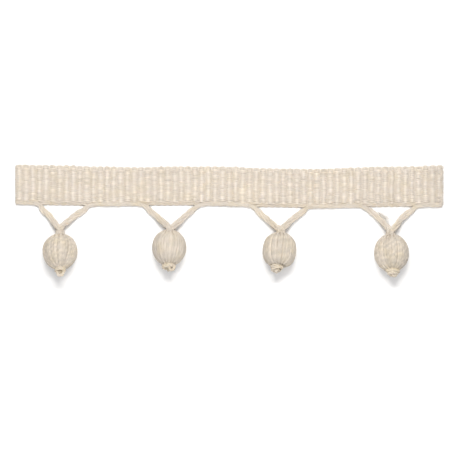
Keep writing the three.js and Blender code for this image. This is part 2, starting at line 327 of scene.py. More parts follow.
class Skein:
    """Gathers tubes of yarn into one mesh. Each has its length and turn as a UV map, in millimetres
    and turns, and its own shade."""

    def __init__(self):
        self.points, self.faces, self.uvs, self.shades = [], [], [], []
        self.count = 0

    def add(self, path, side, rise, width, height, around, shade):
        """Adds a yarn round a line, with around points in each ring, and closes its two ends."""
        steps = len(path)
        angle = TURN * np.arange(around) / around
        wide = np.broadcast_to(np.asarray(width, float) / 2, (steps,))[:, None, None]
        high = np.broadcast_to(np.asarray(height, float) / 2, (steps,))[:, None, None]
        across = np.cos(angle)[None, :, None] * wide * side[:, None, :]
        above = np.sin(angle)[None, :, None] * high * rise[:, None, :]
        rings = path[:, None, :] + across + above
        self.points.append(rings.reshape(-1, 3))
        self.shades.append(np.repeat(np.broadcast_to(shade, (steps,)), around))
        along = lengths_along(path) / MM
        ring, place = self.join_rings(steps, around)
        u, next_u = along[ring], along[ring + 1]
        v, next_v = place / around, (place + 1) / around
        corners = [(u, v), (u, next_v), (next_u, next_v), (next_u, v)]
        self.uvs.append(np.stack([np.stack(c, 1) for c in corners], 1).reshape(-1, 2))
        turns = np.arange(around) / around
        self.uvs.append(np.stack([np.full(around, along[0]), turns[::-1]], 1))
        self.uvs.append(np.stack([np.full(around, along[-1]), turns], 1))

    def add_plied(
        self, path, side, rise, *, ply, offset, pitch, plies, phase, around, shade, contrast=0.0
    ):
        """Adds plies that turn round a line once in each pitch. Each is darker than the one before by
        contrast."""
        ply = np.broadcast_to(np.asarray(ply, float), (len(path),))
        offset = np.broadcast_to(np.asarray(offset, float), (len(path),))[:, None]
        turn = phase + TURN * lengths_along(path) / pitch
        for k in range(plies):
            angle = (turn + TURN * k / plies)[:, None]
            line = path + offset * (np.cos(angle) * side + np.sin(angle) * rise)
            self.add(line, side, rise, ply, ply, around, shade - contrast * k)

    def add_surface(self, grid, shade):
        """Adds a closed surface through rings of points."""
        rings, around = grid.shape[:2]
        self.points.append(grid.reshape(-1, 3))
        self.shades.append(np.full(rings * around, shade))
        ring, _ = self.join_rings(rings, around)
        self.uvs.append(np.zeros((4 * len(ring) + 2 * around, 2)))

    def join_rings(self, rings, around):
        """Joins rings of points by faces and closes the first and the last. Gives the ring of each face
        between two rings and its place round it."""
        ring, place = np.meshgrid(np.arange(rings - 1), np.arange(around), indexing="ij")
        ring, place = ring.ravel(), place.ravel()
        near, far = ring * around, (ring + 1) * around
        after = (place + 1) % around
        quads = np.stack([near + place, near + after, far + after, far + place], 1)
        turn = np.arange(around)
        ends = np.stack([turn[::-1], (rings - 1) * around + turn])
        self.faces.extend((quads + self.count).tolist())
        self.faces.extend((ends + self.count).tolist())
        self.count += rings * around
        return ring, place

    def finish(self, name, material, slot, lowest=0.0):
        """Makes the mesh object. Nothing of it lies lower than the surface."""
        points = np.vstack(self.points)
        points[:, 2] = np.maximum(points[:, 2], lowest)
        mesh = bpy.data.meshes.new(name)
        mesh.from_pydata(points, [], self.faces)
        shade = mesh.attributes.new("shade", "FLOAT", "POINT")
        shade.data.foreach_set("value", np.concatenate(self.shades).astype(np.float32))
        layer = mesh.uv_layers.new(name="yarn")
        layer.data.foreach_set("uv", np.vstack(self.uvs).astype(np.float32).ravel())
        mesh.shade_smooth()
        mesh.materials.append(material)
        mesh.update()
        piece = bpy.data.objects.new(name, mesh)
        bpy.context.scene.collection.objects.link(piece)
        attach(piece, BODY)
        return piece


def heading_outline():
    """The solid heading's top edge and foot at each place along it."""
    points = np.array([v.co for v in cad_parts["heading"].data.vertices])
    places = np.unique(points[:, 0].round(5))
    tops, feet = [], []
    for x in places:
        here = points[np.abs(points[:, 0] - x) < 1e-5, 1]
        tops.append(here.max())
        feet.append(here.min())
    return places, np.array(tops), np.array(feet)


OUTLINE_X, OUTLINE_TOP, OUTLINE_FOOT = heading_outline()
HALF_LENGTH = OUTLINE_X[-1]
# The cloth's cut ends lie just inside the solid's, because their fibres reach past them.
LEFT_CUT = -HALF_LENGTH + 0.35 * MM
RIGHT_CUT = HALF_LENGTH - 0.65 * MM


def top_at(x):
    return np.interp(x, OUTLINE_X, OUTLINE_TOP)


def foot_at(x):
    return np.interp(x, OUTLINE_X, OUTLINE_FOOT)


def rib_edges(sizes, rng):
    """Where each rib starts, a little unevenly."""
    edges = np.linspace(LEFT_CUT, RIGHT_CUT, sizes.ribs + 1)
    pitch = edges[1] - edges[0]
    edges[1:-1] += rng.normal(0, UNEVEN["rib_pitch"], sizes.ribs - 1) * pitch
    return edges


# Shader groups. A group gives only colours, values and masks that change over the surface.
def new_group(name, inputs, outputs):
    group = bpy.data.node_groups.new(name, "ShaderNodeTree")
    for label, kind, value in inputs:
        socket = group.interface.new_socket(label, in_out="INPUT", socket_type=kind)
        socket.default_value = value
    for label, kind in outputs:
        group.interface.new_socket(label, in_out="OUTPUT", socket_type=kind)
    return group, group.nodes.new("NodeGroupInput"), group.nodes.new("NodeGroupOutput")


def feed(tree, socket, value):
    """Links a socket to another one, or sets its value."""
    if isinstance(value, bpy.types.NodeSocket):
        tree.links.new(value, socket)
    else:
        socket.default_value = value


def math_node(tree, operation, *values):
    node = tree.nodes.new("ShaderNodeMath")
    node.operation = operation
    for socket, value in zip(node.inputs, values):
        feed(tree, socket, value)
    return node.outputs[0]


def noise_node(tree, vector, scale, detail, roughness=0.5):
    node = tree.nodes.new("ShaderNodeTexNoise")
    node.inputs["Detail"].default_value = detail
    node.inputs["Roughness"].default_value = roughness
    feed(tree, node.inputs["Scale"], scale)
    feed(tree, node.inputs["Vector"], vector)
    return node.outputs["Fac"]


def cotton_shade_group():
    """Uneven cotton: each yarn has its own shade, and soft patches run a little yellower."""
    group, inside, outside = new_group(
        "Cotton Shade",
        [
            ("Colour", "NodeSocketColor", (0.7, 0.6, 0.5, 1)),
            ("Yarn Spread", "NodeSocketFloat", 0.12),
            ("Patch Scale", "NodeSocketFloat", 160.0),
            ("Patch Spread", "NodeSocketFloat", 0.1),
            ("Warmth", "NodeSocketFloat", 0.25),
        ],
        [("Colour", "NodeSocketColor"), ("Roughness", "NodeSocketFloat")],
    )
    shade = group.nodes.new("ShaderNodeAttribute")
    shade.attribute_name = "shade"
    place = group.nodes.new("ShaderNodeTexCoord")
    patches = noise_node(group, place.outputs["Object"], inside.outputs["Patch Scale"], 3.0)
    specks = noise_node(group, place.outputs["Object"], 1400.0, 2.0)
    level = 1.0
    for value, spread in (
        (shade.outputs["Fac"], inside.outputs["Yarn Spread"]),
        (patches, inside.outputs["Patch Spread"]),
        (specks, 0.12),
    ):
        value = math_node(group, "SUBTRACT", value, 0.5)
        level = math_node(group, "MULTIPLY_ADD", value, spread, level)
    scaled = group.nodes.new("ShaderNodeVectorMath")
    scaled.operation = "SCALE"
    group.links.new(inside.outputs["Colour"], scaled.inputs[0])
    group.links.new(level, scaled.inputs["Scale"])
    warm = group.nodes.new("ShaderNodeVectorMath")
    warm.operation = "MULTIPLY"
    warm.inputs[1].default_value = (1.02, 0.985, 0.84)
    group.links.new(scaled.outputs[0], warm.inputs[0])
    tint = noise_node(group, place.outputs["Object"], 230.0, 2.0)
    tint = math_node(group, "SUBTRACT", tint, 0.42)
    tint = math_node(group, "MULTIPLY", tint, inside.outputs["Warmth"])
    tint = math_node(group, "MULTIPLY", tint, 6.0)
    tint = math_node(group, "MAXIMUM", tint, 0.0)
    tint = math_node(group, "MINIMUM", tint, 1.0)
    mix = group.nodes.new("ShaderNodeMix")
    mix.data_type = "RGBA"
    group.links.new(tint, mix.inputs["Factor"])
    group.links.new(scaled.outputs[0], mix.inputs[6])
    group.links.new(warm.outputs[0], mix.inputs[7])
    group.links.new(mix.outputs[2], outside.inputs["Colour"])
    rough = math_node(group, "MULTIPLY_ADD", patches, 0.12, 0.84)
    group.links.new(rough, outside.inputs["Roughness"])
    return group


def yarn_relief_group():
    """The relief of spun yarn: its plies or fibres wind round it, in millimetres along the yarn."""
    group, inside, outside = new_group(
        "Yarn Relief",
        [
            ("Pitch", "NodeSocketFloat", 2.0),
            ("Ridges", "NodeSocketFloat", 3.0),
            ("Fibre Share", "NodeSocketFloat", 0.5),
        ],
        [("Height", "NodeSocketFloat")],
    )
    yarn = group.nodes.new("ShaderNodeUVMap")
    yarn.uv_map = "yarn"
    parts = group.nodes.new("ShaderNodeSeparateXYZ")
    group.links.new(yarn.outputs["UV"], parts.inputs[0])
    along = math_node(group, "DIVIDE", parts.outputs["X"], inside.outputs["Pitch"])
    around = math_node(group, "MULTIPLY", parts.outputs["Y"], inside.outputs["Ridges"])
    turns = math_node(group, "ADD", along, around)
    ridge = math_node(group, "SINE", math_node(group, "MULTIPLY", turns, TURN))
    angle = math_node(group, "MULTIPLY", math_node(group, "ADD", parts.outputs["Y"], along), TURN)
    thread = group.nodes.new("ShaderNodeCombineXYZ")
    group.links.new(math_node(group, "MULTIPLY", parts.outputs["X"], 0.8), thread.inputs[0])
    group.links.new(math_node(group, "COSINE", angle), thread.inputs[1])
    group.links.new(math_node(group, "SINE", angle), thread.inputs[2])
    fibres = noise_node(group, thread.outputs[0], 3.2, 4.0, 0.65)
    fibres = math_node(group, "MULTIPLY", fibres, inside.outputs["Fibre Share"])
    height = math_node(group, "MULTIPLY_ADD", ridge, 0.25, fibres)
    group.links.new(height, outside.inputs["Height"])
    return group


def cotton_material(row, groups, colour):
    """Matt cotton, with its uneven shade and yarn relief from the groups."""
    material = bpy.data.materials.new(row["name"])
    material.use_nodes = True
    tree = material.node_tree
    shader = tree.nodes["Principled BSDF"]
    shade = tree.nodes.new("ShaderNodeGroup")
    shade.node_tree = groups["shade"]
    shade.inputs["Colour"].default_value = (*colour, 1)
    shade.inputs["Yarn Spread"].default_value = row["spread"]
    shade.inputs["Patch Spread"].default_value = row["patch"]
    shade.inputs["Warmth"].default_value = row["warmth"]
    tree.links.new(shade.outputs["Colour"], shader.inputs["Base Color"])
    tree.links.new(shade.outputs["Roughness"], shader.inputs["Roughness"])
    relief = tree.nodes.new("ShaderNodeGroup")
    relief.node_tree = groups["relief"]
    relief.inputs["Pitch"].default_value = row["pitch"]
    relief.inputs["Ridges"].default_value = row["ridges"]
    bumped = tree.nodes.new("ShaderNodeBump")
    bumped.inputs["Strength"].default_value = 1.0
    bumped.inputs["Distance"].default_value = row["depth"] * MM
    tree.links.new(relief.outputs["Height"], bumped.inputs["Height"])
    tree.links.new(bumped.outputs["Normal"], shader.inputs["Normal"])
    for label, value in COTTON_SURFACE.items():
        shader.inputs[label].default_value = value


def materials_of(settings):
    """The cottons, made once."""
    if COTTONS[0]["name"] in bpy.data.materials:
        return bpy.data.materials
    groups = {"shade": cotton_shade_group(), "relief": yarn_relief_group()}
    for row in COTTONS:
        cotton_material(row, groups, getattr(settings.colours, row["colour"]))
    return bpy.data.materials


class TRIM_OT_weave_heading(bpy.types.Operator):
    """Weave the heading: weft ribs, warp yarns, weft loops at the top and the selvedge at the foot"""

    bl_idname = "trim.weave_heading"
    bl_label = "Weave Heading"

    def execute(self, context):
        settings = context.scene.fringe_trim
        sizes = settings.heading
        cotton = materials_of(settings)
        rng = np.random.default_rng(11)
        yarn, slot = cotton["heading cotton"], "heading_cotton"
        edges = rib_edges(sizes, rng)
        rises = 1 + rng.normal(0, UNEVEN["rib_rise"], sizes.ribs)
        ground = weft_ground(sizes, edges, rises)
        ground = ground.finish("heading_ground", cotton["ground cotton"], slot)
        warps = [
            warp_yarns(sizes, edges, rises, rng, first).finish(f"heading_warp_{first + 1}", yarn, slot)
            for first in (0, 1)
        ]
        loops = weft_loops(sizes, edges, rng).finish("heading_loops", yarn, slot)
        foot = foot_selvedge(rng).finish("heading_foot", cotton["cord cotton"], slot)
        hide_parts("heading")
        return {"FINISHED"}


def rise_at(sizes, y_from_top):
    """How far the warp rises over a rib: less in the top selvedge, where the ribs fade."""
    return sizes.rib_rise * (0.3 + 0.7 * smoothstep(*RIB_FADE, y_from_top))


def middle_at(sizes, rise):
    """The height of the heading's middle where its back lies flat."""
    return rise + sizes.yarn_height / 2 + 0.03 * MM


def weft_ground(sizes, edges, rises):
    """The weft cords that fill the ribs under the warp, as one closed wavy sheet."""
    per_rib = 6
    share = np.arange(per_rib) / per_rib
    xs = np.concatenate([a + (b - a) * share for a, b in zip(edges[:-1], edges[1:])] + [edges[-1:]])
    arch = np.concatenate([np.tile(np.sin(math.pi * share) ** RIB_FORM, sizes.ribs), [0.0]])
    tall = np.append(np.repeat(rises, per_rib), 1.0)
    across = np.linspace(0, 1, 12)
    rings = []
    for x, a, r in zip(xs, arch, tall):
        top, foot = top_at(x) - 0.35 * MM, foot_at(x) + 0.3 * MM
        y = top + (foot - top) * across
        rise = rise_at(sizes, top - y) * r
        rise = rise * (1 - 0.55 * smoothstep(foot + sizes.lip_width, foot + 0.8 * sizes.lip_width, y))
        middle = middle_at(sizes, rise / r)
        half = np.maximum((rise - 0.5 * sizes.yarn_height) * a, 0.03 * MM)
        upper = np.stack([np.full_like(y, x), y, middle + half], 1)
        lower = np.stack([np.full_like(y, x), y, middle - half], 1)
        rings.append(np.vstack([upper, lower[::-1]]))
    skein = Skein()
    skein.add_surface(np.array(rings), 0.4)
    return skein


def warp_yarns(sizes, edges, rises, rng, first):
    """Every second warp yarn. It floats over one rib and dives under the next."""
    per_rib = 8
    share = np.arange(per_rib) / per_rib
    arch = np.sin(math.pi * share) ** RIB_FORM
    skein = Skein()
    depth = np.mean(OUTLINE_TOP - OUTLINE_FOOT) - sizes.lip_width - 0.3 * MM
    yarns = int(depth / sizes.warp_pitch)
    for yarn in range(first, yarns, 2):
        place = (yarn + 0.5) / yarns
        sway = 0.12 * MM * np.sin(TURN * place + edges * 90)
        lean = edges + sway + rng.normal(0, 0.03 * MM, len(edges))
        lean[0] = edges[0] + 0.35 * MM + rng.normal(0, 0.08 * MM)
        lean[-1] = edges[-1] - 0.45 * MM + rng.normal(0, 0.16 * MM)
        starts, widths = lean[:-1, None], np.diff(lean)[:, None]
        xs = (starts + widths * share).ravel()
        side = np.where((np.arange(sizes.ribs) + yarn) % 2 == 0, 1.0, -1.0)
        tension = side * rises * (1 + rng.normal(0, UNEVEN["float_rise"], sizes.ribs))
        xs = np.append(xs, lean[-1])
        lift = np.append((tension[:, None] * arch).ravel(), 0.0)
        spread = np.append(np.tile(np.sin(math.pi * share), sizes.ribs), 0.0)
        fullness = 1 + rng.normal(0, UNEVEN["float_width"], sizes.ribs)
        fullness = np.append(np.repeat(fullness, per_rib), 1.0)
        top, foot = top_at(xs) - 0.3 * MM, foot_at(xs) + sizes.lip_width
        y = top + (foot - top) * place + wander(rng, xs, 21 * MM, UNEVEN["yarn_place"])
        shift = rng.normal(0, UNEVEN["float_place"], sizes.ribs)
        y += np.append(np.repeat(shift, per_rib), 0.0) * spread
        rise = rise_at(sizes, top - y)
        z = middle_at(sizes, rise) + rise * lift
        path = np.stack([xs, y, z], 1)
        narrow = 0.94 * sizes.warp_pitch
        width = (narrow + (sizes.float_width - narrow) * spread) * fullness
        height = sizes.yarn_height * (1.05 - 0.1 * spread)
        across, above = sides_of(path, UP)
        relief = smoothstep(*RIB_FADE, top - y)
        floats = rng.normal(0, UNEVEN["float_shade"], sizes.ribs)
        floats = np.append(np.repeat(floats, per_rib), 0.0) * spread
        # Painted shade: a warp yarn is painted darker the lower it lies between and under the ribs,
        # less so in the top selvedge where the ribs fade.
        shade = rng.uniform(0.4, 1.0) + floats - 1.5 * relief * (1 - lift / rises.max())
        # The right end is a little darker.
        shade = shade - 0.7 * smoothstep(RIGHT_CUT - 9 * MM, RIGHT_CUT - 3 * MM, xs)
        skein.add(path, across, above, width, height, 8, shade)
    return skein


def weft_loops(sizes, edges, rng):
    """Each rib's wefts turn round the top edge in a small loop."""
    skein = Skein()
    turn = np.linspace(-0.5 * math.pi, 0.5 * math.pi, 9)
    for left, right in zip(edges[:-1], edges[1:]):
        reach = sizes.loop_reach * rng.uniform(0, 1) ** 3
        for k in range(LOOP_WEFTS):
            place = (k + 0.5) / LOOP_WEFTS
            x = left + (right - left) * (0.14 + 0.72 * place) + rng.normal(0, 0.04 * MM)
            bulge = 0.2 * MM + reach * math.sin(math.pi * place) ** 2 * (1 + rng.normal(0, 0.15))
            edge = top_at(x) - 0.5 * MM
            y = edge + bulge * np.cos(turn)
            z = 0.52 * MM + 0.27 * MM * np.sin(turn)
            start = np.array([[x, edge - 1.3 * MM, z[-1] + 0.12 * MM]])
            end = np.array([[x, edge - 1.3 * MM, z[0]]])
            arc = np.stack([x + 0.1 * MM * np.sin(turn), y, z], 1)[::-1]
            path = np.vstack([start, arc, end])
            across, above = carried_sides(path, np.array([1.0, 0.0, 0.0]))
            skein.add(path, across, above, 0.36 * MM, 0.62 * MM, 8, rng.uniform(-1.2, 0.2))
    return skein


def foot_selvedge(rng):
    """The selvedge along the foot: a plied yarn on its edge and two plain ones above it."""
    skein = Skein()
    xs = np.arange(LEFT_CUT + 0.3 * MM, RIGHT_CUT - 0.3 * MM, 0.35 * MM)
    for yarn in FOOT_YARNS:
        y = foot_at(xs) + yarn["inset"] * MM + wander(rng, xs, 40 * MM, 0.06 * MM)
        z = yarn["height"] * MM + wander(rng, xs, 17 * MM, 0.05 * MM)
        path = np.stack([xs, y, z], 1)
        across, above = sides_of(path, UP)
        width = yarn["width"] * MM
        if yarn["plies"] > 1:
            skein.add_plied(
                path, across, above, ply=width, offset=0.25 * MM, pitch=5.5 * MM,
                plies=yarn["plies"], phase=0.4, around=8, shade=0.3, contrast=0.8
            )
        else:
            skein.add(path, across, above, width, 0.55 * MM, around=8, shade=0.3)
    return skein


def bobble_frame(row):
    """A bobble's middle, its axis towards the knot, and the directions to its right and its top."""
    lean, tilt = math.radians(row["lean"]), math.radians(row["tilt"])
    axis = np.array([math.sin(lean) * math.cos(tilt), -math.cos(lean) * math.cos(tilt), math.sin(tilt)])
    rest = math.hypot(row["crown"] * math.sin(tilt), row["radius"] * math.cos(tilt)) - FLAT_DEPTH
    middle = np.array([row["x"], row["y"], rest]) * MM
    right = unit(np.cross(UP, axis))
    return middle, axis, right, np.cross(axis, right)


def neck_of(row):
    middle, axis, _, _ = bobble_frame(row)
    return middle - axis * row["neck"] * MM


class TRIM_OT_lay_hanger_cord(bpy.types.Operator):
    """Lay the hanger cord along the heading's foot, with two arms down to each bobble's neck"""

    bl_idname = "trim.lay_hanger_cord"
    bl_label = "Lay Hanger Cord"

    def execute(self, context):
        settings = context.scene.fringe_trim
        cotton = materials_of(settings)
        rng = np.random.default_rng(23)
        skein = Skein()
        for route in cord_routes(settings.cord):
            lay_bundle(skein, settings.cord, route, rng)
        for row, left, right in zip(BOBBLES, LEFT_ARMS, RIGHT_ARMS):
            for arm, inwards in ((left, 1), (right, -1)):
                lay_inner_yarn(skein, settings.cord, row, arm, inwards, rng)
        cord = skein.finish("hanger_cord_yarns", cotton["cord cotton"], "cord_cotton")
        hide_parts("hanger_cord")
        return {"FINISHED"}


def arm_line(row, arm, sizes):
    """One arm's points in space, from the foot down to just inside the neck."""
    neck = neck_of(row)
    axis = bobble_frame(row)[1]
    flat = np.array(arm) * MM
    reach = lengths_along(np.vstack([flat, neck[:2]]))
    share = (reach[:-1] / reach[-1]) ** 1.6
    heights = sizes.run_height + (neck[2] - sizes.run_height) * share
    points = np.column_stack([flat, heights])
    across = np.array([points[-1][0] - neck[0], 0, 0])
    inside = [neck - 0.12 * across + axis * 0.2 * MM, neck + axis * 2.2 * MM - 0.3 * across]
    return np.vstack([points, inside])


def run_points(start, end, sizes):
    """Points along the lip between two places, with the cord laid over the foot's selvedge."""
    bend = 3.4 * MM
    count = max(2, int((end - start - 2 * bend) / (6 * MM)))
    xs = np.linspace(start + bend, end - bend, count)
    y = foot_at(xs) + 0.78 * MM
    return np.stack([xs, y, np.full_like(xs, sizes.run_height)], 1)


def cord_routes(sizes):
    """The cord's line: from each bobble's right arm along the lip to the next one's left arm."""
    routes = []
    for k in range(len(BOBBLES) + 1):
        first = [] if k == 0 else arm_line(BOBBLES[k - 1], RIGHT_ARMS[k - 1], sizes)[::-1]
        last = [] if k == len(BOBBLES) else arm_line(BOBBLES[k], LEFT_ARMS[k], sizes)
        start_x = LEFT_CUT - 3.1 * MM if k == 0 else RIGHT_ARMS[k - 1][0][0] * MM
        end_x = RIGHT_CUT + 3.1 * MM if k == len(BOBBLES) else LEFT_ARMS[k][0][0] * MM
        run = run_points(start_x, end_x, sizes)
        routes.append(np.vstack([part for part in (first, run, last) if len(part)]))
    return routes


def lay_bundle(skein, sizes, route, rng):
    """Strands side by side in a flat bundle that slowly turns along its line."""
    path = smooth_path(route, YARN_STEP)
    along = lengths_along(path)
    across, above = sides_of(path, UP)
    start = rng.uniform(0, TURN)
    strand = 1.5 * sizes.ply
    wide = (sizes.width - strand) / 2
    high = (sizes.height - 0.86 * strand) / 2
    loose = 1 + wander(rng, along, 14 * MM, 0.1)
    # 0 along the lip and 1 on an arm.
    on_arm = smoothstep(-0.3 * MM, 2.6 * MM, foot_at(path[:, 0]) - path[:, 1])
    loose = loose * (sizes.run_share + (1 - sizes.run_share) * on_arm)
    skein.add(path, across, above, 0.8 * sizes.width * loose, 0.65 * sizes.height * loose, 10, 0.0)
    for k in range(sizes.strands):
        turned = TURN * (k / sizes.strands + along / sizes.lay)
        angle = start + turned + wander(rng, along, 11 * MM, 0.35)
        sideways = (wide * np.cos(angle) * loose)[:, None] * across
        upwards = (high * np.sin(angle) * loose)[:, None] * above
        line = path + (sideways + upwards)
        side, rise = sides_of(line, UP)
        ply = sizes.ply * (0.88 + 0.12 * on_arm) * (1 + wander(rng, along, 6 * MM, 0.08))
        pitch = rng.uniform(6, 8) * MM
        shade = rng.uniform(0, 0.9) - 0.6 * (1 - on_arm)
        skein.add_plied(
            line, side, rise, ply=ply, offset=0.2 * sizes.ply, pitch=pitch,
            plies=2, phase=rng.uniform(0, TURN), around=6, shade=shade
        )


def lay_inner_yarn(skein, sizes, row, arm, inwards, rng):
    """One yarn of an arm turns the other way at its top and joins the foot's selvedge."""
    top, near, further = arm_line(row, arm, sizes)[:3]
    foot = foot_at(top[0] + inwards * 4 * MM) + 0.75 * MM
    points = [
        near + 0.4 * (further - near),
        near,
        top + np.array([inwards * 0.9 * MM, 0.3 * MM, 0.1 * MM]),
        [top[0] + inwards * 2.4 * MM, foot + 0.05 * MM, 1.15 * MM],
        [top[0] + inwards * 5.0 * MM, foot, 0.75 * MM],
    ]
    path = smooth_path(points, YARN_STEP)
    side, rise = sides_of(path, UP)
    skein.add_plied(
        path, side, rise, ply=0.8 * sizes.ply, offset=0.26 * sizes.ply, pitch=7 * MM,
        plies=2, phase=rng.uniform(0, TURN), around=6, shade=0.2
    )


class TRIM_OT_wind_bobbles(bpy.types.Operator):
    """Wind the bobbles with threads from neck to foot"""

    bl_idname = "trim.wind_bobbles"
    bl_label = "Wind Bobbles"

    def execute(self, context):
        settings = context.scene.fringe_trim
        cotton = materials_of(settings)
        for number, row in enumerate(BOBBLES, 1):
            rng = np.random.default_rng(40 + number)
            skein = wind_bobble(settings.bobble, row, rng)
            bobble = skein.finish(f"bobble_{number}_threads", cotton["bobble cotton"], "bobble_cotton")
            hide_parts(f"bobble_{number}")
        return {"FINISHED"}


def meridian(row, inset, step):
    """A thread's reach along the axis and its distance from it, from the neck to the foot."""
    above = np.sin(np.linspace(-math.asin(CROWN_CUT), 0, 8))
    below = np.sin(np.linspace(0, math.asin(FOOT_CUT), 9))[1:]
    full = row["fullness"]
    wide = np.concatenate([np.sqrt(1 - above**2), (1 - below**full) ** (1 / full)])
    reach = np.concatenate([row["crown"] * above, row["foot"] * below])
    radius = row["radius"] * wide
    # The neck above the crown, and the turn into the bore at the foot.
    neck_top = -row["neck"] + 0.9
    neck_mid = 0.5 * (neck_top + reach[0])
    end, mouth = reach[-1], radius[-1]
    reach = np.concatenate([[neck_top, neck_mid], reach, [end + 0.3, end + 0.1, end - 0.6]])
    radius = np.concatenate([[2.1, 2.2], radius, [mouth - 0.6, mouth - 1.3, mouth - 1.7]])
    radius = np.maximum(radius * MM - inset, 0.3 * MM)
    return smooth_path(np.column_stack([reach * MM, radius]), step)


def wind_bobble(sizes, row, rng):
    """Threads from neck to foot round a bobble. Every second one sinks between its neighbours where
    they crowd towards the neck and the foot, and is painted darker there as painted shade, most towards
    the neck."""
    middle, axis, right, top = bobble_frame(row)
    skein = Skein()
    line = meridian(row, 0.52 * MM, YARN_STEP)
    reach, radius = line[:, 0], line[:, 1]
    slope = unit(np.gradient(line, axis=0))
    out_axis, out_radius = -slope[:, 1], slope[:, 0]
    skein.add_surface(core_rings(row, middle, axis, right, top), 0.2)
    along = lengths_along(line)
    twist = math.radians(rng.uniform(2, 7))
    width = radius / radius.max()
    crowd = smoothstep(0.35, 1.0, width)
    sunk = np.where(reach < 0, 0.7, 0.2) * MM * (1 - smoothstep(0.5, 0.86, width))
    # Painted shade: the sunken threads are painted darker where they sink, most towards the neck.
    painted_sunk_shade = np.where(reach < 0, 0.6, 0.2) * (1 - smoothstep(0.45, 0.95, width))
    for k in range(sizes.threads):
        sinking = k % 2 == 1
        azimuth = TURN * (k + rng.normal(0, 0.08)) / sizes.threads + twist * (along / along[-1] - 0.5)
        azimuth = azimuth + wander(rng, along, 13 * MM, 0.03)
        sink = (sunk if sinking else -0.1 * MM * (1 - crowd)) + 0.05 * MM * rng.normal()
        outward = np.cos(azimuth)[:, None] * right + np.sin(azimuth)[:, None] * top
        normal = out_axis[:, None] * axis + out_radius[:, None] * outward
        normal = normal * np.sign(np.sum(normal * outward, 1, keepdims=True) + 1e-9)
        path = middle + reach[:, None] * axis + radius[:, None] * outward - sink[:, None] * normal
        side, rise = sides_of(path, unit(normal))
        swell = (0.55 + 0.45 * crowd) * (1 + wander(rng, along, 9 * MM, 0.07))
        relief = row["relief"] * MM
        pitch = row["twist"] * MM * rng.uniform(0.85, 1.15)
        phase, shade = rng.uniform(0, TURN), rng.uniform(0.2, 1)
        # Painted light and shade: beads painted lighter and darker in turn along each thread, as where
        # its plies stand up and sink.
        shade = shade + 1.7 * row["relief"] * np.sin(TURN * 1.6 * along / pitch + phase)
        if sinking:
            shade = shade - painted_sunk_shade
        skein.add_plied(
            path, side, 0.66 * rise, ply=(sizes.thread - 1.4 * relief) * swell, offset=relief * swell,
            pitch=pitch, plies=2, phase=phase, around=8, shade=shade, contrast=4 * row["relief"]
        )
    return skein


def core_rings(row, middle, axis, right, top):
    """The lower layer of thread, a closed egg under the threads."""
    line = meridian(row, 0.62 * MM, 0.9 * MM)
    turns = TURN * np.arange(32) / 32
    outward = np.cos(turns)[:, None] * right + np.sin(turns)[:, None] * top
    return middle + line[:, :1, None] * axis + np.maximum(line[:, 1:, None], 0.2 * MM) * outward


class TRIM_OT_tie_knots(bpy.types.Operator):
    """Tie the knot below each bobble"""

    bl_idname = "trim.tie_knots"
    bl_label = "Tie Knots"

    def execute(self, context):
        cotton = materials_of(context.scene.fringe_trim)
        for number, (row, knot) in enumerate(zip(BOBBLES, KNOTS), 1):
            rng = np.random.default_rng(70 + number)
            skein = tie_knot(row, knot, rng)
            skein.finish(f"knot_{number}", cotton["knot cotton"], "cord_cotton")
        return {"FINISHED"}


def tie_knot(row, knot, rng):
    """Wraps of yarn round the doubled cord, with an eye or a loose end."""
    middle, axis, right, top = bobble_frame(row)
    start = (FOOT_CUT * row["foot"] - 0.1) * MM
    tip = knot["tip"] * MM
    yarn = knot["yarn"] * MM
    loop = knot["loop"] * MM
    aside, up = knot["end_x"] * MM, knot["end_up"] * MM

    def place(x, y, reach):
        return middle + (knot["x"] * MM + x) * right + y * top + reach * axis

    skein = Skein()
    steps = np.linspace(0, 1, 60)
    turn = TURN * knot["turns"] * steps - 0.35 * math.pi
    wide = (knot["wide"] + (knot["narrow"] - knot["wide"]) * steps) * MM
    lean = math.tan(math.radians(knot["tip_over"]))
    x, y = wide * np.cos(turn), wide * np.sin(turn)
    reach = start + (knot["start"] + knot["span"] * steps) * MM + lean * x
    wrap = np.stack([place(a, b, c) for a, b, c in zip(x, y, reach)])
    lay_strand(skein, wrap, axis, yarn, rng.uniform(0.2, 0.9), rng)
    if knot["eye"]:
        eye = knot["eye"] * MM
        line = [
            place(
                aside + eye * math.sin(angle),
                up + (0.7 - 0.4 * math.cos(angle)) * MM,
                tip - 0.5 * loop - EYE_LENGTH * eye * (1 + math.cos(angle)),
            )
            for angle in np.linspace(EYE_OPEN * TURN, (1 - EYE_OPEN) * TURN, 11)
        ]
    else:
        line = [
            place(0, 0.4 * MM, start + 0.3 * knot["span"] * MM),
            place(0.4 * aside, 0.5 * up, start + 0.6 * (tip - start)),
            place(aside, up, tip - 0.3 * loop),
        ]
    lay_strand(skein, smooth_path(line, KNOT_STEP), top, loop, rng.uniform(0.4, 0.9), rng)
    # The doubled cord inside the wraps. Under an eye it is painted darker, as painted shade where the
    # eye lies open over it.
    under = -0.6 * MM
    stem = np.stack([place(0, under, start - 1.5 * MM), place(0, under, tip - 1.0 * MM)])
    thick = max(2.4, 1.5 * knot["narrow"]) * MM
    shade = -0.9 if knot["eye"] else 0.4
    lay_strand(skein, even_steps(stem, KNOT_STEP), top, thick, shade, rng)
    return skein


def lay_strand(skein, path, up, width, shade, rng):
    """A soft strand of three plies that fill its width, drawn in to a blunt point at its far end."""
    side, rise = carried_sides(path, up)
    along = lengths_along(path)
    width = width * np.sqrt(1 - 0.9 * smoothstep(along[-1] - 0.7 * width, along[-1], along))
    skein.add_plied(
        path, side, rise, ply=0.56 * width, offset=0.23 * width, pitch=5 * MM,
        plies=3, phase=rng.uniform(0, TURN), around=8, shade=shade
    )


